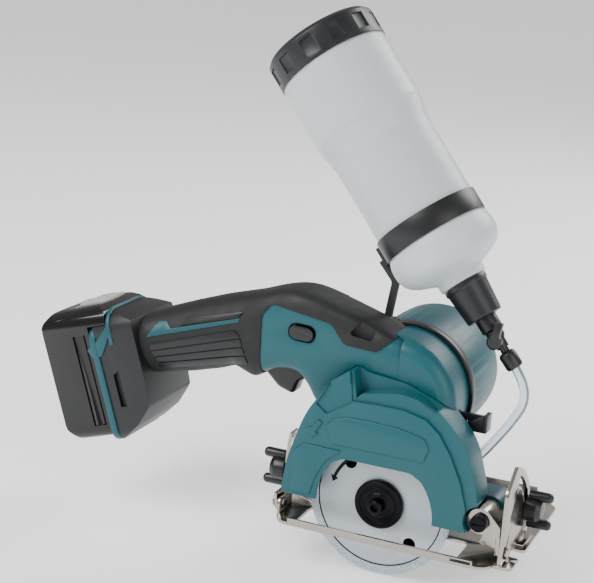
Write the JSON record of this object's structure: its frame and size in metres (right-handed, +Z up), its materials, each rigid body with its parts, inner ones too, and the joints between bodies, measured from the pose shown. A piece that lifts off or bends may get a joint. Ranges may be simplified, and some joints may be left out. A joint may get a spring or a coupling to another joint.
{
  "type": "cordless wet tile cutter",
  "caption": "Hand-held cordless wet cutter for tile and glass, with a guarded grinding wheel, a tilting base with depth and bevel setting, a strapped water bottle and a slide battery.",
  "frame": {"origin": "on the sole of the base, in the plane of the wheel, directly below the spindle", "axes": "+X in the direction of cut, +Y from the wheel to the motor, +Z up from the sole"},
  "size_m": [0.2959, 0.1075, 0.2959],
  "materials": {
    "teal_plastic": "satin",
    "black_rubber": "matte",
    "black_plastic": "satin",
    "battery_plastic": "gloss",
    "light_grey_plastic": "satin",
    "accent_plastic": "satin",
    "nickel_steel": "satin",
    "zinc_screw": "satin",
    "black_oxide_steel": "satin",
    "wheel_steel": "satin",
    "diamond_rim": "matte",
    "gear_steel": "satin",
    "shaft_steel": "satin",
    "copper_winding": "satin",
    "bottle_plastic": "gloss",
    "hose_plastic": "gloss",
    "cap_plastic": "satin"
  },
  "bodies": {
    "saw": {"battery_foot": "black_rubber", "brush_holder": "black_plastic", "clamp_band": "black_plastic", "cock_body": "black_plastic", "counter_bearings": "shaft_steel", "foot_rim": "teal_plastic", "front_pin": "black_oxide_steel", "gear_housing": "teal_plastic", "grip_accent": "accent_plastic", "handle_grip": "black_rubber", "hose_sleeve": "black_plastic", "housing_far": "teal_plastic", "housing_near": "teal_plastic", "housing_screws": "zinc_screw", "motor_bearings": "shaft_steel", "motor_housing": "teal_plastic", "motor_plate": "black_plastic", "neck_cap": "cap_plastic", "spindle_front_bearing": "shaft_steel", "spindle_rear_bearing": "shaft_steel", "stator": "gear_steel", "strap_band": "cap_plastic", "strap_buckle": "cap_plastic", "switch_body": "black_plastic", "tank_arm": "black_plastic", "terminal_block": "black_plastic", "water_bottle": "bottle_plastic", "water_hose": "hose_plastic", "water_nozzle": "black_plastic", "wheel_guard": "teal_plastic"},
    "wheel": {"spindle": "shaft_steel", "spindle_gear": "gear_steel", "inner_flange": "shaft_steel", "outer_flange": "black_oxide_steel", "flange_bolt": "black_oxide_steel", "wheel_disc": "wheel_steel", "wheel_rim": "diamond_rim"},
    "counter": {"counter_shaft": "gear_steel", "counter_gear": "gear_steel"},
    "rotor": {"motor_shaft": "shaft_steel", "rotor_core": "copper_winding", "commutator": "copper_winding", "cooling_fan": "black_plastic"},
    "trigger": {"trigger": "black_plastic"},
    "lock_off": {"lock_off_button": "black_plastic"},
    "shaft_lock": {"shaft_lock": "black_oxide_steel"},
    "depth_frame": {"front_holder": "nickel_steel", "depth_guide": "nickel_steel"},
    "base": {"base_plate": "nickel_steel", "bevel_quadrant": "nickel_steel", "bevel_rivets": "nickel_steel"},
    "bevel_screw": {"bevel_screw": "black_plastic"},
    "depth_screw": {"depth_screw": "black_plastic"},
    "fill_cap": {"fill_cap": "cap_plastic", "cap_gasket": "black_rubber"},
    "cock_lever": {"cock_lever": "black_plastic"},
    "battery": {"battery_case": "battery_plastic", "battery_cells": "shaft_steel"},
    "battery_button": {"battery_button": "light_grey_plastic"}
  },
  "joints": [
    {"name": "wheel_spin", "type": "hinge", "parent": "saw", "child": "wheel", "pos_m": [0, 0, 0.017], "axis": [0, 1, 0], "continuous": true},
    {"name": "counter_spin", "type": "hinge", "parent": "saw", "child": "counter", "pos_m": [0, 0.02, 0.044], "axis": [0, 1, 0], "continuous": true},
    {"name": "motor_spin", "type": "hinge", "parent": "saw", "child": "rotor", "pos_m": [0, 0.06, 0.0736], "axis": [0, 1, 0], "continuous": true},
    {"name": "trigger_pull", "type": "slide", "parent": "saw", "child": "trigger", "axis": [-0.9511, 0, -0.309], "range_m": [0, 0.005], "stiffness_N_per_m": 1200, "springref_m": -0.003},
    {"name": "lock_off_press", "type": "slide", "parent": "saw", "child": "lock_off", "axis": [0, 1, 0], "range_m": [0, 0.003], "stiffness_N_per_m": 800, "springref_m": -0.002},
    {"name": "shaft_lock_slide", "type": "slide", "parent": "saw", "child": "shaft_lock", "axis": [-1, 0, 0], "range_m": [0, 0.004], "stiffness_N_per_m": 800, "springref_m": -0.002},
    {"name": "base_depth", "type": "hinge", "parent": "saw", "child": "depth_frame", "pos_m": [0.0575, 0, 0.0225], "axis": [0, -1, 0], "range_deg": [0, 8]},
    {"name": "base_bevel", "type": "hinge", "parent": "depth_frame", "child": "base", "pos_m": [0, -0.002, 0.006], "axis": [-1, 0, 0], "range_deg": [0, 45]},
    {"name": "bevel_screw_turn", "type": "hinge", "parent": "depth_frame", "child": "bevel_screw", "pos_m": [0.072, 0.03406, 0.018], "axis": [1, 0, 0], "range_deg": [0, 300]},
    {"name": "depth_screw_turn", "type": "hinge", "parent": "saw", "child": "depth_screw", "pos_m": [-0.06, 0.013, 0.019], "axis": [-1, 0, 0], "range_deg": [0, 300]},
    {"name": "cap_lift", "type": "slide", "parent": "saw", "child": "fill_cap", "axis": [-0.6395, 0.1026, 0.7619], "range_m": [0, 0.03]},
    {"name": "cock_turn", "type": "hinge", "parent": "saw", "child": "cock_lever", "pos_m": [0.0486, 0.0272, 0.1097], "axis": [-0.066, -0.9947, 0.0786], "range_deg": [0, 90]},
    {"name": "battery_slide", "type": "slide", "parent": "saw", "child": "battery", "axis": [-0.309, 0, 0.9511], "range_m": [0, 0.075]},
    {"name": "battery_button_press", "type": "slide", "parent": "battery", "child": "battery_button", "axis": [0.309, 0, -0.9511], "range_m": [0, 0.003], "stiffness_N_per_m": 700, "springref_m": -0.002}
  ],
  "couplings": [
    {"joint": "counter_spin", "follows": "wheel_spin", "ratio": -0.6875},
    {"joint": "motor_spin", "follows": "wheel_spin", "ratio": 4.9653}
  ]
}
